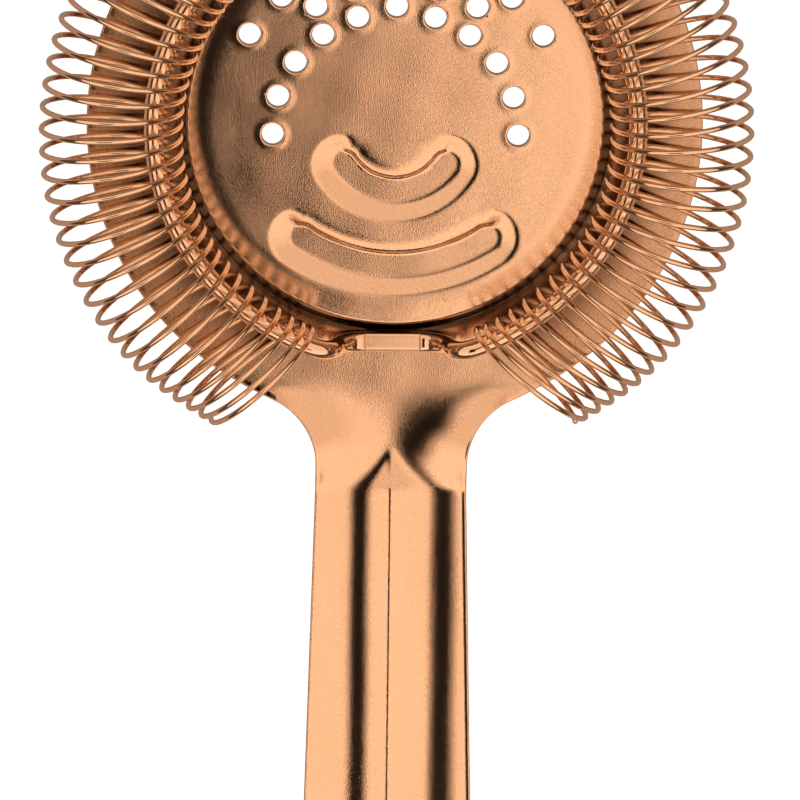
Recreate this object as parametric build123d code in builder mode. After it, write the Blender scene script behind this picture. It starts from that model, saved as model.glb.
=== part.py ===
"""Hawthorne strainer: a stamped plate with its handle, a welded hoop of round wire,
and a long coil spring threaded onto the hoop. Millimetres.

The strainer lies on the flat back of its flange. The origin is the centre of the raised
disc, on that face. +Z points out of the side that carries the spring, and the handle runs
towards -Y. Angles about the head are measured from the handle's direction, as in polar().
"""

import os
from math import cos, exp, radians, sin, sqrt

from build123d import *

# Plate
sheet = 1.2  # thickness of the stamped sheet
flange_radius = 42.0
flange_centre_y = -1.2  # the flange is a little wider towards the handle
disc_raise = 3.0  # height of the raised disc above the flange
disc_crown = 0.4  # how much higher the disc is at its centre
step_foot_radius = 29.9
step_run = 1.4  # how far the step leans in over its height
shoulder_fillet = 2.4

# Perforations
hole_diameter = 3.0
arch_radius = 16.7  # the arch of holes is struck from a point nearer the handle
arch_centre_y = -1.3
arch_holes = 11
arch_step = 18.3
crown_hole_shift = 0.7  # the arch's middle hole stands this much further out
middle_row_radius = 19.4
middle_row_angles = (17.2, 34.3)
outer_row_radius = 23.3
outer_row_angles = (8.6, 25.3, 42.0, 58.7)

# Finger rests: curved grooves, each (half span, y at its ends, y at its middle)
finger_rests = ((6.9, -5.9, -9.7), (12.6, -16.2, -20.3))
rest_width = 4.4
rest_depth = 1.5

# Neck and handle
neck_fillet = 9.5
handle_root_width = 20.8
handle_end_width = 24.6
handle_reach = 138.0  # from the origin to the handle's end
ridge_delay = 1.5  # the ridge starts this far past the flange
ridge_run_in = 6.5  # and has its full height this much further on
channel_depth = 1.3
channel_start_depth = 0.02  # as good as flat, where the channels begin

# Hoop
hoop_wire = 2.6
hoop_radius = 32.9
pad_length = 9.0
pad_width = 2.6
pad_thickness = 1.9
pad_gap = 0.1  # from the foot of the step to the pad
imprint_length = 7.4
imprint_width = 1.9
imprint_depth = 0.35
joggle_angle = 20.0  # where the hoop leaves its level ring for the pad

# Spring
spring_wire = 0.8
coil_radius = 9.4  # to the middle of the wire
spring_ring_radius = 38.6
spans = 14  # the wire is built in spans of whole turns that meet end to end
turns_per_span = 6
spring_end_angle = 27.7
end_lean = 21.0  # the last turns lean, because the free ends straighten out
lean_zone = 28.0
closed_turns = 2.0  # how quickly the close turns at each end open out
closing = 0.5  # how much closer the last turns are
end_tuck = 0.4

# Clearances
clearance = 0.4  # between spring and flange, and between spring and hoop

spring_level = sheet + clearance + coil_radius + spring_wire / 2
hoop_offset = spring_ring_radius - hoop_radius
hoop_play = coil_radius - spring_wire / 2 - hoop_wire / 2 - clearance
hoop_level = spring_level - 0.95 * sqrt(hoop_play**2 - hoop_offset**2)
neck_y = flange_centre_y - flange_radius - ridge_delay
full_ridge_y = neck_y - ridge_run_in


def polar(radius, angle, z=0.0):
    """A point at this radius and this angle from the handle's direction, towards -X."""
    return Vector(-radius * sin(radians(angle)), -radius * cos(radians(angle)), z)


def from_front(radius, angle, centre_y=0.0):
    """A point at this radius and this angle from the front of the head."""
    return (radius * sin(radians(angle)), centre_y + radius * cos(radians(angle)))


# The blank's outline, seen from above
with BuildSketch() as outline:
    with BuildLine():
        root_x = handle_root_width / 2
        tip_x = handle_end_width / 2
        tip_y = -(handle_reach - tip_x)
        ThreePointArc((tip_x, tip_y), (0, -handle_reach), (-tip_x, tip_y))
        Polyline((-tip_x, tip_y), (-root_x, full_ridge_y), (-root_x, 0), (root_x, 0),
                 (root_x, full_ridge_y), (tip_x, tip_y))
    make_face()
    with Locations((0, flange_centre_y)):
        Circle(flange_radius)
    corners = outline.vertices().filter_by(lambda v: neck_y < v.Y < neck_y / 2)
    fillet(corners, radius=neck_fillet)

# The sheet as it is formed before it is cut: flat at the head, two channels and a ridge
channel_chord = handle_end_width / 2 + 1.0


def formed_section(y, depth):
    """The sheet's section at y: two shallow channels side by side."""
    with BuildSketch(Plane(origin=(0, y, 0), x_dir=(1, 0, 0), z_dir=(0, -1, 0))) as section:
        with BuildLine():
            ends = (-channel_chord, 0, channel_chord)
            for z in (0, sheet):
                for left, right in zip(ends, ends[1:]):
                    ThreePointArc((left, z + depth), ((left + right) / 2, z), (right, z + depth))
            for x in (ends[0], ends[-1]):
                Line((x, depth), (x, depth + sheet))
        make_face()
    return section.sketch


flat_section = formed_section(neck_y, channel_start_depth)
ridged_section = formed_section(full_ridge_y, channel_depth)

with BuildPart() as formed_sheet:
    with BuildSketch():
        with Locations((0, neck_y)):
            Rectangle(2 * flange_radius + 2, 3 * flange_radius, align=(Align.CENTER, Align.MIN))
    extrude(amount=sheet)
    loft([flat_section, ridged_section])
    extrude(ridged_section, amount=handle_reach + full_ridge_y + 1)


def disc_profile(drop, inset):
    """Half the space under the raised disc's surface, lowered by drop and drawn in by inset."""
    top = sheet + disc_raise - drop
    foot = step_foot_radius - inset
    shoulder = foot - step_run
    with BuildSketch(Plane.XZ) as profile:
        with BuildLine():
            crown_chord = (shoulder / 2, top + 0.75 * disc_crown)
            ThreePointArc((0, top + disc_crown), crown_chord, (shoulder, top))
            Polyline((shoulder, top), (foot, sheet - drop), (foot, -drop), (0, -drop),
                     (0, top + disc_crown))
        make_face()
    return profile.sketch


def shoulder_edges(builder, inset):
    """The round edge where the disc's top meets its step, drawn in by inset."""
    radius = step_foot_radius - step_run - inset
    circles = builder.edges().filter_by(GeomType.CIRCLE)
    return circles.filter_by(lambda edge: abs(edge.radius - radius) < 0.01)


def rest_slots(width):
    """The outlines of the finger rests, this wide, as a sketch."""
    with BuildSketch() as slots:
        for half_span, end_y, middle_y in finger_rests:
            ends = (-half_span, end_y), (half_span, end_y)
            SlotArc(ThreePointArc(ends[0], (0, middle_y), ends[1]), height=width)
    return slots.sketch


disc_solid = disc_profile(0, 0)
disc_recess = disc_profile(sheet, sheet)
rest_inside = rest_slots(rest_width)
rest_outside = rest_slots(rest_width + 2 * sheet)
rest_floor = sheet + disc_raise - rest_depth

with BuildPart() as recess:
    revolve(disc_recess, axis=Axis.Z)
    fillet(shoulder_edges(recess, sheet), radius=shoulder_fillet / 2)
    extrude(Plane.XY.offset(rest_floor - sheet) * rest_outside, amount=sheet + disc_raise,
            mode=Mode.SUBTRACT)
    ridge_crests = recess.faces().filter_by(Axis.Z).filter_by(
        lambda f: abs(f.center().Z - rest_floor + sheet) < 0.01).edges()
    fillet(ridge_crests, radius=sheet)

with BuildPart() as rest_grooves:
    extrude(Plane.XY.offset(rest_floor) * rest_inside, amount=2 * rest_depth)
    fillet(rest_grooves.faces().group_by(Axis.Z)[0].edges(), radius=sheet / 2)

with BuildPart() as plate_with_handle:
    extrude(outline.sketch, amount=sheet + channel_depth + 1)
    add(formed_sheet.part, mode=Mode.INTERSECT)
    revolve(disc_solid, axis=Axis.Z)
    fillet(shoulder_edges(plate_with_handle, 0), radius=shoulder_fillet)
    add(recess.part, mode=Mode.SUBTRACT)
    add(rest_grooves.part, mode=Mode.SUBTRACT)
    with BuildSketch():
        for number in range(arch_holes):
            angle = (number - (arch_holes - 1) / 2) * arch_step
            radius = arch_radius + (crown_hole_shift if angle == 0 else 0)
            with Locations(from_front(radius, angle, arch_centre_y)):
                Circle(hole_diameter / 2)
        for radius, angles in ((middle_row_radius, middle_row_angles),
                               (outer_row_radius, outer_row_angles)):
            for angle in angles:
                with Locations(from_front(radius, angle), from_front(radius, -angle)):
                    Circle(hole_diameter / 2)
    extrude(amount=sheet + disc_raise + disc_crown + 1, mode=Mode.SUBTRACT)
plate_with_handle.part.label = "plate_with_handle"

# The hoop: a level ring that comes down through a bend each side to a flattened pad
pad_y = -(step_foot_radius + pad_gap + pad_width / 2)
pad_level = sheet + hoop_wire / 2


def bend(start, heading, end, arrival):
    """The ends and the meeting point of two arcs from start, along heading, to end, along arrival."""
    gap = end - start
    turn = heading + arrival
    a = 4 - turn.dot(turn)
    b = 2 * gap.dot(turn)
    reach = (sqrt(b * b + 4 * a * gap.dot(gap)) - b) / (2 * a)
    middle = (start + heading * reach + end - arrival * reach) * 0.5
    return start, middle, end


ring_start = polar(hoop_radius, joggle_angle, hoop_level)
ring_end = polar(hoop_radius, -joggle_angle, hoop_level)
leaving = Vector(cos(radians(joggle_angle)), -sin(radians(joggle_angle)), 0)
joining = Vector(leaving.X, -leaving.Y, 0)
along_pad = Vector(1, 0, 0)
pad_start = Vector(-pad_length / 2, pad_y, pad_level)
pad_end = Vector(pad_length / 2, pad_y, pad_level)
down_start, down_middle, down_end = bend(ring_start, leaving, pad_start, along_pad)
up_start, up_middle, up_end = bend(pad_end, along_pad, ring_end, joining)

with BuildPart() as hoop:
    with BuildLine() as hoop_path:
        Line(pad_start, pad_end)
        TangentArc(up_start, up_middle, tangent=along_pad)
        TangentArc(up_end, up_middle, tangent=-joining)
        ThreePointArc(ring_end, (0, hoop_radius, hoop_level), ring_start)
        TangentArc(down_start, down_middle, tangent=leaving)
        TangentArc(down_end, down_middle, tangent=-along_pad)
    with BuildSketch(Plane(origin=pad_start, z_dir=along_pad)):
        Circle(hoop_wire / 2)
    sweep(path=hoop_path.wires()[0])
    pad_top = sheet + pad_thickness
    with BuildSketch(Plane.XY.offset(pad_top)):
        with Locations((0, pad_y)):
            Rectangle(pad_length, 2 * hoop_wire)
    extrude(amount=hoop_wire, mode=Mode.SUBTRACT)
    with BuildSketch(Plane.XY.offset(sheet)):
        with Locations((0, pad_y)):
            RectangleRounded(pad_length, pad_width, pad_width / 4)
    extrude(amount=pad_thickness)
    with BuildSketch(Plane.XY.offset(pad_top - imprint_depth)):
        with Locations((0, pad_y)):
            Rectangle(imprint_length, imprint_width)
    extrude(amount=hoop_wire, mode=Mode.SUBTRACT)
hoop.part.label = "hoop"

# The spring: each turn is two upright half circles, one over the hoop and one under it
half_turns = 2 * spans * turns_per_span
closeness = [1 - closing * exp(-min(n, half_turns - 1 - n) / 2 / closed_turns)
             for n in range(half_turns)]
turn_angle = (360 - 2 * spring_end_angle) / sum(closeness)
half_turn_angles = [spring_end_angle + turn_angle * sum(closeness[:n])
                    for n in range(half_turns + 1)]


def coil_point(number):
    """Where the wire crosses the coil's middle level: outside the ring, then inside, in turn."""
    angle = half_turn_angles[number]
    side = 1 if angle < 180 else -1
    from_end = min(angle, 360 - angle) - spring_end_angle
    ease = 1 - min(from_end / lean_zone, 1)
    ease = ease * ease * (3 - 2 * ease)
    middle = polar(spring_ring_radius - end_tuck * ease, angle, spring_level)
    out = polar(coil_radius, angle + side * end_lean * ease)
    return middle + out if number % 2 == 0 else middle - out


def spring_span(first):
    """A few turns of the wire, from the outer point with this number."""
    with BuildPart() as span:
        with BuildLine() as path:
            for number in range(first, first + 2 * turns_per_span):
                start, end = coil_point(number), coil_point(number + 1)
                over = 1 if number % 2 == 0 else -1
                crest = (start + end) * 0.5 + Vector(0, 0, over * (end - start).length / 2)
                ThreePointArc(start, crest, end)
        with BuildSketch(Plane(origin=coil_point(first), z_dir=(0, 0, 1))):
            Circle(spring_wire / 2)
        sweep(path=path.wires()[0])
    return span.part


spring_spans = [spring_span(first) for first in range(0, half_turns, 2 * turns_per_span)]
spring = Compound(label="spring", children=spring_spans)

os.makedirs("parts", exist_ok=True)
for piece in (plate_with_handle.part, hoop.part, spring):
    export_step(piece, f"parts/{piece.label}.step")
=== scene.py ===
import bmesh
import bpy
import numpy as np
from mathutils import Matrix, Vector


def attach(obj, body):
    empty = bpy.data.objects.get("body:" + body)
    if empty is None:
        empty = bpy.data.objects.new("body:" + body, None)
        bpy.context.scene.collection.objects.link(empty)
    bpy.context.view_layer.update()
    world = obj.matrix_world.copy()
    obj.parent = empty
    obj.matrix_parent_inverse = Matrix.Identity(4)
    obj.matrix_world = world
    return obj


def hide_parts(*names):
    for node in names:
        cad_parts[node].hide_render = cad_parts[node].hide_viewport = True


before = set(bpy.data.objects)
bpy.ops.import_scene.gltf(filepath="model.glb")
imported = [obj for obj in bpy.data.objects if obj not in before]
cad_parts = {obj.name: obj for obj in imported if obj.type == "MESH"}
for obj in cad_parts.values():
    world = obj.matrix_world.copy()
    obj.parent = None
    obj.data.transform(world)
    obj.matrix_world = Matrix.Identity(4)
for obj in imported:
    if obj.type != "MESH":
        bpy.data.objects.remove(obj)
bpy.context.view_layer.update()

# ---------------------------------------------------------------------------
# Copper finish. Every piece is steel with a bright copper plating, brushed lightly along
# the handle before plating, so all of them share one grain, one clouding and one wear.
# ---------------------------------------------------------------------------
MM = 0.001


def node_group(name, inputs, outputs):
    """An empty shader group with these named number inputs and outputs."""
    group = bpy.data.node_groups.new(name, "ShaderNodeTree")
    for label, default in inputs:
        socket = group.interface.new_socket(label, in_out="INPUT", socket_type="NodeSocketFloat")
        socket.default_value = default
    for label in outputs:
        group.interface.new_socket(label, in_out="OUTPUT", socket_type="NodeSocketFloat")
    return group, group.nodes.new("NodeGroupInput"), group.nodes.new("NodeGroupOutput")


def math_node(tree, operation, first, second=None, third=None):
    """A math node; a number is set on its socket and anything else is linked to it."""
    node = tree.nodes.new("ShaderNodeMath")
    node.operation = operation
    for socket, value in zip(node.inputs, (first, second, third)):
        if isinstance(value, (int, float)):
            socket.default_value = value
        elif value is not None:
            tree.links.new(value, socket)
    return node.outputs[0]


def noise_node(tree, coordinates, scale, detail, stretch=(1, 1, 1)):
    """Noise of this scale per metre, drawn out along the axes that have a small stretch."""
    mapping = tree.nodes.new("ShaderNodeMapping")
    mapping.inputs["Scale"].default_value = stretch
    noise = tree.nodes.new("ShaderNodeTexNoise")
    noise.inputs["Scale"].default_value = scale
    noise.inputs["Detail"].default_value = detail
    tree.links.new(coordinates, mapping.inputs["Vector"])
    tree.links.new(mapping.outputs["Vector"], noise.inputs["Vector"])
    return noise.outputs["Fac"]


def ramp_node(tree, value, start, end, low=0.0, high=1.0):
    """Goes smoothly from low to high as value goes from start to end."""
    node = tree.nodes.new("ShaderNodeMapRange")
    node.interpolation_type = "SMOOTHSTEP"
    tree.links.new(value, node.inputs["Value"])
    limits = (("From Min", start), ("From Max", end), ("To Min", low), ("To Max", high))
    for label, number in limits:
        node.inputs[label].default_value = number
    return node.outputs["Result"]


lines_per_metre, sand_per_metre, pits_per_metre, clouds_per_metre = 5000, 9500, 7500, 120
coil_zone = (0.35, 0.52)  # radians from the handle over which the coil's shade sets in
step_zone = (28.0 * MM, 28.9 * MM, 30.4 * MM, 31.4 * MM)  # where the step's shade grows and fades


def build_brushed_grain():
    """Fine lines along Y mixed with an even sandy grain, as a height, a cloudy tone from 0 to
    1, and a speck mask that is 1 in the grain's pits."""
    group, given, result = node_group(
        "brushed_grain", (("Lines", 0.6), ("Sand", 0.4)), ("Height", "Tone", "Speck"))
    coordinates = group.nodes.new("ShaderNodeTexCoord").outputs["Object"]
    lines = noise_node(group, coordinates, lines_per_metre, 1, (1, 0.05, 1))
    sand = noise_node(group, coordinates, sand_per_metre, 0)
    drawn = math_node(group, "MULTIPLY", lines, given.outputs["Lines"])
    height = math_node(group, "MULTIPLY_ADD", sand, given.outputs["Sand"], drawn)
    group.links.new(height, result.inputs["Height"])
    clouds = noise_node(group, coordinates, clouds_per_metre, 3, (1, 0.4, 1))
    tone = math_node(group, "MULTIPLY_ADD", lines, 0.35, math_node(group, "MULTIPLY", clouds, 0.65))
    group.links.new(tone, result.inputs["Tone"])
    pits = noise_node(group, coordinates, pits_per_metre, 1, (1, 0.6, 1))
    group.links.new(ramp_node(group, pits, 0.42, 0.62), result.inputs["Speck"])
    return group


def build_edge_wear():
    """A mask that is 1 on convex edges, where the plating is rubbed bright, and 0 elsewhere."""
    group, given, result = node_group("edge_wear", (("Reach", 0.5),), ("Mask",))
    geometry = group.nodes.new("ShaderNodeNewGeometry")
    above = math_node(group, "SUBTRACT", geometry.outputs["Pointiness"], 0.5)
    mask = math_node(group, "MULTIPLY", above, given.outputs["Reach"])
    clamp = group.nodes.new("ShaderNodeClamp")
    group.links.new(mask, clamp.inputs["Value"])
    group.links.new(clamp.outputs["Result"], result.inputs["Mask"])
    return group


def build_painted_shade_ring():
    """A mask that is 1 at the foot of the disc's step and less outside it under the coil. It
    paints shade into the copper there, a dark colour that stands for the shade and dark
    reflections in those gaps. It acts on the top face only and fades out where the neck is bare."""
    group, given, result = node_group("painted_shade_ring", (("Under Coil", 0.8),), ("Mask",))
    coordinates = group.nodes.new("ShaderNodeTexCoord").outputs["Object"]
    axes = group.nodes.new("ShaderNodeSeparateXYZ")
    group.links.new(coordinates, axes.inputs["Vector"])
    x, y = axes.outputs["X"], axes.outputs["Y"]
    squares = math_node(group, "MULTIPLY_ADD", x, x, math_node(group, "MULTIPLY", y, y))
    radius = math_node(group, "SQRT", squares)
    from_neck = math_node(group, "ABSOLUTE", math_node(
        group, "ARCTAN2", x, math_node(group, "MULTIPLY", y, -1.0)))
    past_neck = ramp_node(group, from_neck, *coil_zone)
    coil = math_node(group, "MULTIPLY", past_neck, given.outputs["Under Coil"])
    outward = ramp_node(group, radius, 40 * MM, 35 * MM, 0.3, 1.0)
    flange = math_node(group, "MULTIPLY", outward, coil)
    step = math_node(group, "MULTIPLY", ramp_node(group, radius, *step_zone[2:], 1.0, 0.0),
                     ramp_node(group, from_neck, 0.5, 1.2, 1.0, 0.6))
    inside = ramp_node(group, radius, *step_zone[:2])
    ring = math_node(group, "MULTIPLY", inside, math_node(group, "MAXIMUM", step, flange))
    on_top = ramp_node(group, axes.outputs["Z"], 0.4 * MM, 0.9 * MM)
    mask = math_node(group, "MULTIPLY", ring, on_top)
    group.links.new(mask, result.inputs["Mask"])
    return group


brushed_grain = build_brushed_grain()
edge_wear = build_edge_wear()
# The mask for the ring of painted shade at the step's foot and under the coil
painted_shade_ring = build_painted_shade_ring()


def copper_material(name, colour, deep_colour, roughness, grain_height, lines, sand, wear,
                    specks=0.0, painted_shade=0.0):
    """Polished copper plating: a base colour that clouds to a deeper one, and a fine grain.
    Specks darken its pits, and painted shade darkens it at the step's foot and under the coil, each
    by that share."""
    material = bpy.data.materials.new(name)
    material.use_nodes = True
    tree = material.node_tree
    shader = tree.nodes["Principled BSDF"]
    shader.inputs["Metallic"].default_value = 1.0

    grain = tree.nodes.new("ShaderNodeGroup")
    grain.node_tree = brushed_grain
    grain.inputs["Lines"].default_value = lines
    grain.inputs["Sand"].default_value = sand
    edges = tree.nodes.new("ShaderNodeGroup")
    edges.node_tree = edge_wear
    edges.inputs["Reach"].default_value = wear

    clouding = tree.nodes.new("ShaderNodeMix")
    clouding.data_type = "RGBA"
    clouding.inputs["A"].default_value = (*deep_colour, 1)
    clouding.inputs["B"].default_value = (*colour, 1)
    spread = math_node(tree, "MULTIPLY_ADD", grain.outputs["Tone"], 2.2, -0.5)
    lifted = math_node(tree, "ADD", spread, edges.outputs["Mask"])
    tree.links.new(lifted, clouding.inputs["Factor"])
    darkenings = []
    if specks:
        darkenings.append((grain.outputs["Speck"], specks, (0.30, 0.17, 0.09, 1)))
    # Painted shade: the ring mask blends the colour towards near-black at the step's foot and under
    # the coil
    if painted_shade:
        ring = tree.nodes.new("ShaderNodeGroup")
        ring.node_tree = painted_shade_ring
        darkenings.append((ring.outputs["Mask"], painted_shade, (0.05, 0.025, 0.012, 1)))
    finish = clouding.outputs["Result"]
    for mask, share, dark in darkenings:
        darkening = tree.nodes.new("ShaderNodeMix")
        darkening.data_type = "RGBA"
        darkening.inputs["B"].default_value = dark
        tree.links.new(finish, darkening.inputs["A"])
        tree.links.new(math_node(tree, "MULTIPLY", mask, share), darkening.inputs["Factor"])
        finish = darkening.outputs["Result"]
    tree.links.new(finish, shader.inputs["Base Color"])

    rough = math_node(tree, "MULTIPLY_ADD", grain.outputs["Tone"], roughness * 0.6, roughness * 0.7)
    tree.links.new(rough, shader.inputs["Roughness"])

    bump = tree.nodes.new("ShaderNodeBump")
    bump.inputs["Distance"].default_value = grain_height * MM
    tree.links.new(grain.outputs["Height"], bump.inputs["Height"])
    tree.links.new(bump.outputs["Normal"], shader.inputs["Normal"])
    return material


# ---------------------------------------------------------------------------
# Plate with handle. One stamped sheet of steel: the disc is drawn up from the flange, the
# holes are punched through it, two curved finger rests are pressed into it, and the handle
# is stiffened by two channels with a ridge between them.
# ---------------------------------------------------------------------------
sheet = 1.2
rim_round = 0.22
flange_radius, flange_centre_y = 42.0, -1.2
disc_level, disc_crown = 4.2, 0.4
roll_start, roll_run, roll_slope = 24.5, 2.6, 0.06
shoulder_start, foot_end = 28.1, 30.0

hole_radius = 1.5
hole_swell, hole_swell_reach = 0.045, 1.1
hole_centres = []
for number in range(-5, 6):
    angle = np.radians(18.3 * number)
    radius = 16.7 + (0.7 if number == 0 else 0)
    hole_centres.append((radius * np.sin(angle), radius * np.cos(angle) - 1.3))
for radius, angles in ((19.4, (17.2, 34.3)), (23.3, (8.6, 25.3, 42.0, 58.7))):
    for angle in np.radians(angles):
        hole_centres += [(radius * np.sin(a), radius * np.cos(a)) for a in (angle, -angle)]

finger_rests = ((6.9, -5.9, -9.6), (12.6, -16.2, -20.1))  # half span, y at ends, y at middle
rest_depth, rest_floor, rest_slope = 0.8, 1.55, 3.0
rest_wall, rest_roll, rest_roll_share = 0.5, 1.9, 0.3

hand_wave = 0.012  # how far the pressed sheet strays from true

root_half, end_half = 10.4, 12.3
neck_fillet, handle_reach = 9.5, 138.0
ridge_start_y, full_ridge_y = -44.8, -52.5
trough_start_y = -36.5
valley, ridge_height, edge_rise = 5.5, 1.3, 0.95


def smooth(t):
    """Goes from 0 to 1 as t does, level at both ends: 3t^2 - 2t^3."""
    t = np.clip(t, 0, 1)
    return t * t * (3 - 2 * t)


def rest_hollow(x, y, half_span, end_y, middle_y, wider):
    """How deep a finger rest is, from 0 to 1: level within the floor's width of an arc's
    line. On the arc's hollow side a steep wall rises to a short roll; on its other side and
    round its ends a soft slope, level at both ends, rises to the disc."""
    sagitta = end_y - middle_y
    radius = (half_span ** 2 + sagitta ** 2) / (2 * sagitta)
    centre_y = middle_y + radius
    reach = np.arcsin(half_span / radius)
    along = np.clip(np.arctan2(x, centre_y - y), -reach, reach)
    line_x, line_y = radius * np.sin(along), centre_y - radius * np.cos(along)
    off_x, off_y = x - line_x, y - line_y
    distance = np.hypot(off_x, off_y)
    to_centre = (-off_x * np.sin(along) + off_y * np.cos(along)) / np.maximum(distance, 1e-6)
    wall_side = smooth((to_centre - 0.3) / 0.6)
    out = np.maximum(distance - rest_floor - wider, 0)
    left = np.clip(1 - out / rest_slope, 0, 1)
    soft = smooth(left)
    rolled = rest_roll_share * np.clip(1 - (out - rest_wall) / rest_roll, 0, 1) ** 2
    wall = np.where(out < rest_wall, 1 - (1 - rest_roll_share) * out / rest_wall, rolled)
    return soft + (wall - soft) * wall_side


def channel_lift(x, y):
    """How far the neck and handle rise from flat: a broad trough that starts at the neck,
    and from the ridge's point on a ridge whose sides are parabolas down to two valleys."""
    across = np.sqrt(x * x + 0.35 ** 2)
    grown = smooth((ridge_start_y - y) / (ridge_start_y - full_ridge_y) * 0.5) * 2
    grown = np.clip(grown, 0, 1)
    half = np.maximum(valley * grown, 1e-3)
    ridge = ridge_height * grown * np.clip(1 - across / half, 0, 1) ** 2
    troughed = smooth((trough_start_y - y) / (trough_start_y - full_ridge_y))
    outer = edge_rise * troughed * (np.maximum(across - half, 0) / valley) ** 2
    inside_neck = 1 - smooth((np.abs(x) - 12.5) / 9.0)
    return ridge + outer * inside_neck


def plate_surface(x, y, under=0.0):
    """Height of the sheet's top, or of its underside when under is the sheet's thickness."""
    rho = np.hypot(x, y)
    step = smooth((rho + under - shoulder_start) / (foot_end - shoulder_start))
    crown = disc_crown * (1 - (rho / shoulder_start) ** 2)
    eased = np.clip((rho - roll_start) / roll_run, 0, 1)
    roll = roll_slope * (roll_run * (eased ** 3 - eased ** 4 / 2)
                         + np.maximum(rho - roll_start - roll_run, 0))
    swell = np.zeros_like(rho)
    for hole_x, hole_y in hole_centres:
        from_hole = np.hypot(x - hole_x, y - hole_y) - hole_radius
        rise = 1 - np.clip(from_hole / hole_swell_reach, 0, 1)
        swell = np.maximum(swell, hole_swell * smooth(rise))
    hollow = np.zeros_like(rho)
    for rest in finger_rests:
        hollow = np.maximum(hollow, rest_hollow(x, y, *rest, wider=under * 0.6))
    disc = disc_level + crown - roll + swell - rest_depth * hollow
    waves = hand_wave * np.sin(0.55 * x + 0.21 * y + 0.4) * np.cos(0.43 * y - 0.17 * x)
    flange = sheet + channel_lift(x, y)
    return flange + (disc - flange) * (1 - step) + waves * (1 if under == 0 else 0) - under


class Shell:
    """Points and faces gathered patch by patch; welding joins patches that share an edge."""

    def __init__(self):
        self.points, self.quads, self.triangles, self.count = [], [], [], 0

    def add_grid(self, x, y, z, wrap=False, keep=None):
        """A patch of rows of points. wrap joins the last column to the first, and keep says
        which of its faces are wanted."""
        index = self.count + np.arange(x.size).reshape(x.shape)
        self.points.append(np.stack((x, y, z), -1).reshape(-1, 3))
        self.count += x.size
        if wrap:
            index = np.hstack((index, index[:, :1]))
        quads = np.stack((index[:-1, :-1], index[1:, :-1], index[1:, 1:], index[:-1, 1:]), -1)
        self.quads.append(quads[keep] if keep is not None else quads.reshape(-1, 4))
        return index

    def add_fan(self, x, y, z, ring):
        """A middle point joined to a closed ring of points."""
        self.points.append(np.array([[x, y, z]]))
        middle = np.full(len(ring) - 1, self.count)
        self.triangles.append(np.stack((middle, ring[:-1], ring[1:]), -1))
        self.count += 1

    def piece(self, name, material):
        """The finished object: unused points dropped, shared edges welded, faces outwards."""
        quads = np.concatenate(self.quads)
        triangles = np.concatenate(self.triangles) if self.triangles else np.zeros((0, 3), int)
        used, packed = np.unique(np.concatenate((quads.ravel(), triangles.ravel())),
                                 return_inverse=True)
        points = np.concatenate(self.points)[used] * MM
        packed_quads, packed_triangles = np.split(packed, [quads.size])
        faces = packed_quads.reshape(-1, 4).tolist() + packed_triangles.reshape(-1, 3).tolist()
        mesh = bpy.data.meshes.new(name)
        mesh.from_pydata(points.tolist(), [], faces)
        working = bmesh.new()
        working.from_mesh(mesh)
        bmesh.ops.remove_doubles(working, verts=working.verts, dist=0.001 * MM)
        bmesh.ops.recalc_face_normals(working, faces=working.faces)
        working.to_mesh(mesh)
        working.free()
        mesh.shade_smooth()
        mesh.materials.append(material)
        made = bpy.data.objects.new(name, mesh)
        bpy.context.scene.collection.objects.link(made)
        return made


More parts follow.
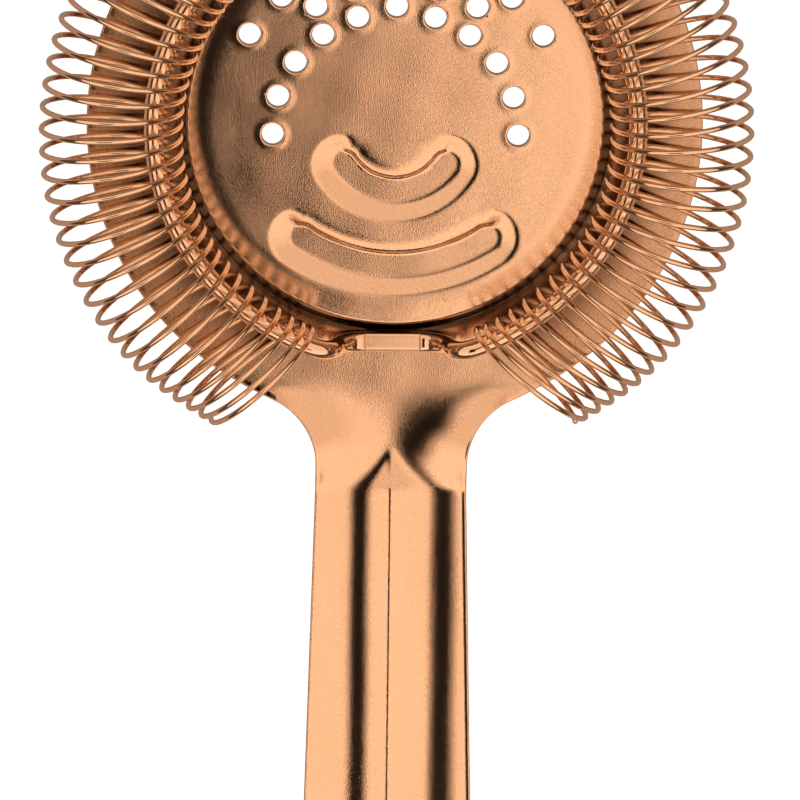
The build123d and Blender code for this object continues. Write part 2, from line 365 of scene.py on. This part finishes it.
def build_plate(material):
    """The head is a polar grid, theta from the handle's direction towards +X, whose rows
    slide from the disc's centre to the flange's. A block of cells round each hole gives way
    to rings that change from the block's outline to the hole's circle. The neck and handle
    are a strip of rows that start on the flange's arc, and a rolled rim closes the sheet."""
    shell = Shell()
    fillet_x = root_half + neck_fillet
    fillet_y = flange_centre_y - np.sqrt((flange_radius + neck_fillet) ** 2 - fillet_x ** 2)
    neck_angle = np.arctan2(fillet_x, flange_centre_y - fillet_y)
    neck_columns, columns = 48, 384
    theta = np.concatenate((
        np.linspace(-neck_angle, neck_angle, neck_columns + 1)[:-1],
        np.linspace(neck_angle, 2 * np.pi - neck_angle, columns - neck_columns + 1)[:-1]))

    punched_rows = np.linspace(13.65, 25.2, 40)
    rim_rho = flange_radius - rim_round
    flange_rows = np.append(np.arange(30.6, 41.6, 0.95), rim_rho)
    top_rows = np.concatenate((
        np.arange(0.8, 5.6, 0.9), np.arange(5.9, 13.5, 0.3), punched_rows,
        np.arange(25.5, 27.5, 0.3), np.linspace(27.6, 30.2, 20), flange_rows))
    under_rows = np.concatenate((np.arange(0.8, 13.5, 0.75), punched_rows,
                                 np.linspace(25.6, 29.2, 16), flange_rows))

    def head_points(rows):
        rho, turn = np.meshgrid(rows, theta, indexing="ij")
        shift = flange_centre_y * np.clip((rho - 31) / (rim_rho - 31), 0, 1)
        return rho * np.sin(turn), shift - rho * np.cos(turn)

    blocks = []
    for hole_x, hole_y in hole_centres:
        rho, turn = np.hypot(hole_x, hole_y), np.arctan2(hole_x, -hole_y) % (2 * np.pi)
        edges = (rho - 1.85, rho + 1.85)
        if rho > 21:
            edges = (21.35, 25.2)
        elif rho > 18:
            edges = (17.5, 21.35)
        elif rho < 15.8:
            edges = (13.65, 17.5)
        ends = turn - 1.85 / rho, turn + 1.85 / rho
        blocks.append((hole_x, hole_y, edges, [int(np.argmin(np.abs(theta - e))) for e in ends]))

    hole_rims = []
    for rows, under in ((top_rows, 0.0), (under_rows, sheet)):
        x, y = head_points(rows)
        keep = np.ones((len(rows) - 1, columns), bool)
        rims = []
        for hole_x, hole_y, edges, (left, right) in blocks:
            low, high = [int(np.argmin(np.abs(rows - e))) for e in edges]
            keep[low:high, left:right] = False
            i = np.concatenate((np.full(right - left, low), np.arange(low, high),
                                np.full(right - left, high), np.arange(high, low, -1)))
            j = np.concatenate((np.arange(left, right), np.full(high - low, right),
                                np.arange(right, left, -1), np.full(high - low, left)))
            out_x, out_y = x[i, j] - hole_x, y[i, j] - hole_y
            reach = np.hypot(out_x, out_y)
            rim_x, rim_y = out_x / reach, out_y / reach
            t = np.linspace(0, 1, 6 if under == 0 else 4)[:, None]
            radius = reach + (hole_radius + rim_round - reach) * t
            ring_x, ring_y = hole_x + rim_x * radius, hole_y + rim_y * radius
            ring_z = plate_surface(ring_x, ring_y, under)
            shell.add_grid(ring_x, ring_y, ring_z)
            rims.append((rim_x, rim_y, ring_z[-1]))
            end_x = np.stack((ring_x[:, -1], ring_x[:, 0]), -1)
            end_y = np.stack((ring_y[:, -1], ring_y[:, 0]), -1)
            shell.add_grid(end_x, end_y, plate_surface(end_x, end_y, under))
        hole_rims.append(rims)
        index = shell.add_grid(x, y, plate_surface(x, y, under), wrap=True, keep=keep)
        top = plate_surface(np.zeros(1), np.zeros(1), under)[0]
        shell.add_fan(0, 0, top, index[0])

    roll = np.radians(np.linspace(0, 90, 4))
    for (hole_x, hole_y, _, _), (rim_x, rim_y, top), (_, _, bottom) in zip(blocks, *hole_rims):
        radius = np.concatenate((hole_radius + rim_round * (1 - np.sin(roll)),
                                 hole_radius + rim_round * (1 - np.sin(roll[::-1]))))[:, None]
        drop = rim_round * (1 - np.cos(roll))[:, None]
        z = np.concatenate((top - drop, bottom + drop[::-1]))
        x, y = hole_x + rim_x * radius, hole_y + rim_y * radius
        shell.add_grid(x, y, z, wrap=True)

    # The neck's fillets, the handle's straight edges, and its round end
    phi = np.linspace(neck_angle, np.pi / 2, 26)
    run = np.concatenate((np.arange(fillet_y - 0.7, full_ridge_y - 1, -0.7),
                          np.linspace(full_ridge_y - 1, -(handle_reach - end_half), 26)))
    widths = np.interp(-run, (-full_ridge_y, handle_reach - end_half), (root_half, end_half))
    edge_x = np.concatenate((
        fillet_x - (neck_fillet + rim_round) * np.sin(phi), widths - rim_round))
    edge_y = np.concatenate((fillet_y + (neck_fillet + rim_round) * np.cos(phi), run))
    normal_x = np.concatenate((np.sin(phi), np.ones_like(run)))
    normal_y = np.concatenate((-np.cos(phi), np.zeros_like(run)))
    u = np.linspace(-1, 1, neck_columns + 1)
    start_u = np.sin(u * neck_angle) / np.sin(neck_angle)
    ridge_u = np.sign(u) * np.abs(u) ** 1.25
    drop = rim_rho * (np.cos(u * neck_angle) - np.cos(neck_angle))
    eased = smooth((edge_y[0] - edge_y) / 22)[:, None]
    strip_x = edge_x[:, None] * (start_u + (ridge_u - start_u) * eased)
    strip_y = edge_y[:, None] - drop * (1 - eased)

    end_y0, end_radius = -(handle_reach - end_half), end_half - rim_round
    psi = np.radians(np.linspace(0, 78, 16))[1:, None]
    cap_x = end_radius * np.cos(psi) * ridge_u
    sunk = end_radius * np.sin(psi)
    cap_y = end_y0 - sunk - (psi / psi[-1]) ** 2 * (np.sqrt(end_radius ** 2 - cap_x ** 2) - sunk)
    strip_x, strip_y = np.vstack((strip_x, cap_x)), np.vstack((strip_y, cap_y))
    for under in (0.0, sheet):
        shell.add_grid(strip_x, strip_y, plate_surface(strip_x, strip_y, under))

    # The rim: round the flange, down one side of the handle, round its end and back
    turn = np.append(theta[neck_columns:], theta[0] + 2 * np.pi)
    side_x, side_y = strip_x[:, -1], strip_y[:, -1]
    side_nx = np.concatenate((normal_x, np.cos(psi[:, 0])))
    side_ny = np.concatenate((normal_y, -np.sin(psi[:, 0])))
    tip_nx, tip_ny = strip_x[-1] / end_radius, (strip_y[-1] - end_y0) / end_radius
    loop_x = np.concatenate((rim_rho * np.sin(turn), -side_x[1:], strip_x[-1][1:-1], side_x[:0:-1]))
    loop_y = np.concatenate((flange_centre_y - rim_rho * np.cos(turn), side_y[1:],
                             strip_y[-1][1:-1], side_y[:0:-1]))
    loop_nx = np.concatenate((np.sin(turn), -side_nx[1:], tip_nx[1:-1], side_nx[:0:-1]))
    loop_ny = np.concatenate((-np.cos(turn), side_ny[1:], tip_ny[1:-1], side_ny[:0:-1]))
    top, bottom = plate_surface(loop_x, loop_y), plate_surface(loop_x, loop_y, sheet)
    out = rim_round * np.concatenate((np.sin(roll), np.sin(roll[::-1])))[:, None]
    drop = rim_round * (1 - np.cos(roll))[:, None]
    z = np.concatenate((top - drop, bottom + drop[::-1]))
    shell.add_grid(loop_x + loop_nx * out, loop_y + loop_ny * out, z, wrap=True)
    return shell.piece("plate_with_handle_formed", material)


# The plate's copper carries painted shade, darkened towards near-black at the foot of the step and
# under the coil
plate_copper = copper_material(
    "copper_plate", colour=(0.95, 0.72, 0.55), deep_colour=(0.90, 0.65, 0.48),
    roughness=0.08, grain_height=0.009, lines=0.12, sand=1.0, wear=3.0,
    specks=0.16, painted_shade=0.92)
plate = build_plate(plate_copper)
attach(plate, "strainer")
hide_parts("plate_with_handle")

# ---------------------------------------------------------------------------
# Hoop. One length of round copper-plated wire bent to a ring that stands clear of the
# flange, brought down to a flattened pad that is welded at the foot of the disc's step.
# ---------------------------------------------------------------------------
hoop_radius_of_wire = 1.3
hoop_ring_radius, hoop_joggle = 32.9, np.radians(20.0)
pad_half, pad_y = 4.5, -31.3
pad_half_width, pad_half_height = 1.3, 0.95
imprint_half, imprint_half_width, imprint_depth = 3.75, 1.12, 0.35
coil_radius, spring_wire, clearance, spring_ring_radius = 9.4, 0.8, 0.4, 38.6
spring_level = sheet + clearance + coil_radius + spring_wire / 2
hoop_play = coil_radius - spring_wire / 2 - hoop_radius_of_wire - clearance
hoop_drop = np.sqrt(hoop_play ** 2 - (spring_ring_radius - hoop_ring_radius) ** 2)
hoop_level = spring_level - 0.95 * hoop_drop
flat_end, flat_run = 3.9, 3.0  # where the pad's flat section ends, and its run to round
pinch_at, pinch_width = 4.3, 0.3


def arc_from(start, heading, end, steps):
    """Points on the arc that leaves start along heading and passes through end: each lies
    at the chord's angle for its share of the turn."""
    chord = end - start
    length = np.linalg.norm(chord)
    aside = chord - heading * chord.dot(heading)
    half_turn = np.arctan2(np.linalg.norm(aside), chord.dot(heading))
    aside = aside / np.linalg.norm(aside)
    share = (np.linspace(0, 1, steps) * half_turn)[:, None]
    return start + length * np.sin(share) / np.sin(half_turn) * (
        np.cos(share) * heading + np.sin(share) * aside)


def two_arc_bend(start, heading, end, arrival, steps):
    """Two arcs of equal end tangents that meet smoothly halfway between start and end."""
    gap, turn = end - start, heading + arrival
    a, b = 4 - turn.dot(turn), 2 * gap.dot(turn)
    reach = (np.sqrt(b * b + 4 * a * gap.dot(gap)) - b) / (2 * a)
    middle = (start + heading * reach + end - arrival * reach) / 2
    first = arc_from(start, heading, middle, steps)
    second = arc_from(end, -arrival, middle, steps)[::-1]
    return np.vstack((first, second[1:]))


def tube_frames(path, sideways=None):
    """The sideways vector and the upward vector at each point of a path."""
    tangent = np.gradient(path, axis=0)
    tangent /= np.linalg.norm(tangent, axis=1, keepdims=True)
    side = np.cross(tangent, (0, 0, 1)) if sideways is None else sideways
    side = side - tangent * (side * tangent).sum(1, keepdims=True)
    side /= np.linalg.norm(side, axis=1, keepdims=True)
    return side, np.cross(side, tangent)


def build_hoop(material):
    """A round section carried along the ring, its bends and the pad. In the pad the section
    becomes a rounded oblong, pinched at both ends, with a shallow oblong struck in its top."""
    level = sheet + hoop_radius_of_wire
    pad_end = np.array((pad_half, pad_y, level))
    ring_end = np.array((hoop_ring_radius * np.sin(hoop_joggle),
                         -hoop_ring_radius * np.cos(hoop_joggle), hoop_level))
    joining = np.array((np.cos(hoop_joggle), np.sin(hoop_joggle), 0))
    rising = two_arc_bend(pad_end, np.array((1.0, 0, 0)), ring_end, joining, 34)
    falling = rising[::-1] * (-1, 1, 1)
    turn = np.linspace(hoop_joggle, 2 * np.pi - hoop_joggle, 240)
    ring = np.stack((hoop_ring_radius * np.sin(turn), -hoop_ring_radius * np.cos(turn),
                     np.full_like(turn, hoop_level)), -1)
    fine = np.concatenate((
        np.arange(0, 3.6, 0.4), np.arange(3.6, 3.95, 0.05), np.arange(4.0, 4.5, 0.1)))
    run = np.concatenate((-fine[:0:-1], fine))
    pad = np.stack((run, np.full_like(run, pad_y), np.full_like(run, level)), -1)
    path = np.vstack((pad, rising, ring[1:-1], falling))
    side, up = tube_frames(np.vstack((path[-2:], path, path[:2])))
    side, up = side[2:-2], up[2:-2]

    from_middle = np.where(path[:, 1] < 0, np.abs(path[:, 0]), 99.0)[:, None]
    flat = 1 - smooth((from_middle - flat_end) / flat_run)
    pinch = np.exp(-((from_middle - pinch_at) / pinch_width) ** 2)
    around = np.linspace(0, 2 * np.pi, 49)[:-1]
    power = 1 - 0.58 * flat
    cosine, sine = np.cos(around), np.sin(around)
    wide = np.sign(cosine) * np.abs(cosine) ** power
    tall = np.sign(sine) * np.abs(sine) ** power
    half_width = hoop_radius_of_wire + (pad_half_width - hoop_radius_of_wire) * flat
    half_height = hoop_radius_of_wire + (pad_half_height - hoop_radius_of_wire) * flat
    across = wide * half_width * (1 - 0.03 * pinch)
    height = tall * half_height
    height = height - 0.02 * pinch * (tall > 0.3) * (1 + np.cos(6.5 * across))
    struck = 1 - smooth((from_middle - imprint_half + 0.08) / 0.16)
    struck = struck * (1 - smooth((np.abs(across) - imprint_half_width + 0.05) / 0.12))
    struck = struck * (tall > 0.5)
    height = height - imprint_depth * struck - (hoop_radius_of_wire - pad_half_height) * flat
    skin = path[:, None] + side[:, None] * across[:, :, None] + up[:, None] * height[:, :, None]
    shell = Shell()
    shell.add_grid(*np.moveaxis(np.vstack((skin, skin[:1])), 2, 0), wrap=True)
    return shell.piece("hoop_wire_formed", material)


hoop_copper = copper_material(
    "copper_hoop_wire", colour=(0.95, 0.73, 0.56), deep_colour=(0.90, 0.65, 0.49),
    roughness=0.1, grain_height=0.002, lines=0.0, sand=0.6, wear=1.0)
hoop = build_hoop(hoop_copper)
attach(hoop, "strainer")
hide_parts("hoop")

# ---------------------------------------------------------------------------
# Spring. One long open coil of thin bright copper-plated spring wire, threaded onto the
# hoop. Its turns close up and lean over towards both cut ends, beside the handle.
# ---------------------------------------------------------------------------
spring_turns = 84
spring_end_angle, end_lean, lean_zone = 27.7, 21.0, 28.0
closed_turns, closing, end_tuck = 2.0, 0.5, 0.4
skin_inset = 0.015  # the modelled skin stays this far inside the wire


def build_spring(material):
    """Each half turn of the coil is an upright half circle between a point outside the ring
    and a point inside it, over the hoop and then under it. The angle round the head grows
    by less per half turn near the ends, and the end turns lean."""
    half_turns = 2 * spring_turns
    number = np.arange(half_turns)
    from_cut = np.minimum(number, half_turns - 1 - number)
    closeness = 1 - closing * np.exp(-from_cut / 2 / closed_turns)
    angle = np.concatenate(((0,), np.cumsum(closeness))) / closeness.sum()
    angle = spring_end_angle + (360 - 2 * spring_end_angle) * angle
    from_end = np.minimum(angle, 360 - angle) - spring_end_angle
    ease = smooth(1 - from_end / lean_zone)
    lean = np.radians(angle + np.where(angle < 180, 1, -1) * end_lean * ease)
    turn, ring = np.radians(angle), spring_ring_radius - end_tuck * ease
    level = np.full_like(turn, spring_level)
    middle = np.stack((-ring * np.sin(turn), -ring * np.cos(turn), level), -1)
    out = coil_radius * np.stack((-np.sin(lean), -np.cos(lean), np.zeros_like(turn)), -1)
    sign = np.where(np.arange(half_turns + 1) % 2 == 0, 1, -1)[:, None]
    crossing = middle + out * sign

    steps = 20
    share = np.linspace(0, np.pi, steps + 1)[:-1]
    start, end = crossing[:-1, None], crossing[1:, None]
    half = (end - start) / 2
    lift = np.linalg.norm(half, axis=2, keepdims=True) * sign[:-1, None]
    path = (start + end) / 2 - half * np.cos(share)[:, None]
    path = path + lift * np.sin(share)[:, None] * (0, 0, 1)
    path = np.vstack((path.reshape(-1, 3), crossing[-1]))
    inward = (-half * sign[:-1, None]).repeat(steps, 1).reshape(-1, 3)
    inward = np.vstack((inward, inward[-1]))
    sideways = np.cross((0, 0, 1), inward)
    side, up = tube_frames(path, sideways)
    around = np.linspace(0, 2 * np.pi, 13)[:-1]
    wire = spring_wire / 2 - skin_inset
    section = side[:, None] * np.cos(around)[:, None] + up[:, None] * np.sin(around)[:, None]
    shell = Shell()
    index = shell.add_grid(*np.moveaxis(path[:, None] + wire * section, 2, 0), wrap=True)
    for tip, ring in ((path[0], index[0]), (path[-1], index[-1])):
        shell.add_fan(*tip, ring)
    return shell.piece("spring_wire_coiled", material)


spring_copper = copper_material(
    "copper_spring_wire", colour=(0.96, 0.75, 0.58), deep_colour=(0.92, 0.68, 0.50),
    roughness=0.1, grain_height=0.002, lines=0.3, sand=0.3, wear=0.5)
spring = build_spring(spring_copper)
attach(spring, "spring")
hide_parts("spring")

# ---------------------------------------------------------------------------
# Stage. The strainer lies on a plain pale floor under three broad soft lights that meet in
# one bright ceiling. Two black cards and a grey one hang below it to shade the polished
# metal, and the camera stands over the front of the head.
# ---------------------------------------------------------------------------
def stage_rectangle(name, low, high, z, material):
    """A level rectangle between two corners that isn't part of the strainer."""
    mesh = bpy.data.meshes.new(name)
    mesh.from_pydata([(low[0], low[1], z), (high[0], low[1], z),
                      (high[0], high[1], z), (low[0], high[1], z)], [], [(0, 1, 2, 3)])
    mesh.materials.append(material)
    plane = bpy.data.objects.new(name, mesh)
    bpy.context.scene.collection.objects.link(plane)
    return plane


floor_paper = bpy.data.materials.new("white_floor")
floor_paper.use_nodes = True
paper = floor_paper.node_tree.nodes["Principled BSDF"]
paper.inputs["Base Color"].default_value = (0.35, 0.24, 0.15, 1)
paper.inputs["Roughness"].default_value = 0.9
paper.inputs["Emission Color"].default_value = (1, 1, 1, 1)
# The floor glows fully only where it is looked at, so that the copper reflects it dimly
seen_directly = floor_paper.node_tree.nodes.new("ShaderNodeLightPath").outputs["Is Camera Ray"]
glow = math_node(floor_paper.node_tree, "MULTIPLY_ADD", seen_directly, 0.85, 0.15)
floor_paper.node_tree.links.new(glow, paper.inputs["Emission Strength"])
stage_rectangle("floor", (-3.0, -3.0), (3.0, 3.0), -0.0005, floor_paper)


def soft_light(name, low, high, height, brightness):
    """A level rectangle of light between two corners, seen as this bright."""
    size_x, size_y = high[0] - low[0], high[1] - low[1]
    light = bpy.data.lights.new(name, "AREA")
    light.shape = "RECTANGLE"
    light.size, light.size_y = size_x, size_y
    light.energy = brightness * np.pi * size_x * size_y
    light.color = (1.0, 0.67, 0.455)
    holder = bpy.data.objects.new(name, light)
    holder.location = ((low[0] + high[0]) / 2, (low[1] + high[1]) / 2, height)
    bpy.context.scene.collection.objects.link(holder)
    return holder


ceiling, card_level = 1.6, 1.35
soft_light("handle_soft_light", (-2.6, -2.8), (2.6, -0.56), ceiling, 1.16)
soft_light("head_soft_light", (-2.6, -0.56), (2.6, -0.1), ceiling, 1.06)
soft_light("front_soft_light", (-2.6, -0.1), (2.6, 2.4), ceiling, 0.88)



def card_material(name, glow_strength):
    """Near-black matt card, which may glow a little in the lights' colour."""
    material = bpy.data.materials.new(name)
    material.use_nodes = True
    paint = material.node_tree.nodes["Principled BSDF"]
    paint.inputs["Base Color"].default_value = (0.02, 0.018, 0.016, 1)
    if not glow_strength:
        paint.inputs["Roughness"].default_value = 0.9
    paint.inputs["Emission Color"].default_value = (1.0, 0.75, 0.52, 1)
    paint.inputs["Emission Strength"].default_value = glow_strength
    return material


black_card = card_material("black_card", 0.0)
stage_rectangle("black_card_left", (-0.56, -0.75), (-0.10, 0.1), card_level, black_card)
stage_rectangle("black_card_right", (-0.10, -0.75), (0.018, -0.40), card_level, black_card)
grey_card = card_material("grey_card", 0.1)
stage_rectangle("grey_card", (-0.10, -0.40), (0.018, 0.1), card_level, grey_card)

world = bpy.data.worlds.new("studio")
world.use_nodes = True
world.node_tree.nodes["Background"].inputs["Color"].default_value = (0.30, 0.20, 0.13, 1)
world.node_tree.nodes["Background"].inputs["Strength"].default_value = 0.25
bpy.context.scene.world = world
bpy.context.scene.view_settings.view_transform = "Standard"

camera_data = bpy.data.cameras.new("camera")
camera_data.lens = 391.4
camera_data.sensor_width = 36.0
camera_data.clip_end = 20.0
camera = bpy.data.objects.new("camera", camera_data)
camera_right = Vector((0.99967, 0.01192, 0.02279))
camera_up = Vector((-0.00564, 0.96618, -0.25781))
camera_back = Vector((-0.02509, 0.25760, 0.96593))
turned = Matrix((camera_right, camera_up, camera_back)).transposed().to_4x4()
camera.matrix_world = Matrix.Translation((-0.02884, 0.26793, 1.15541)) @ turned
bpy.context.scene.collection.objects.link(camera)
bpy.context.scene.camera = camera
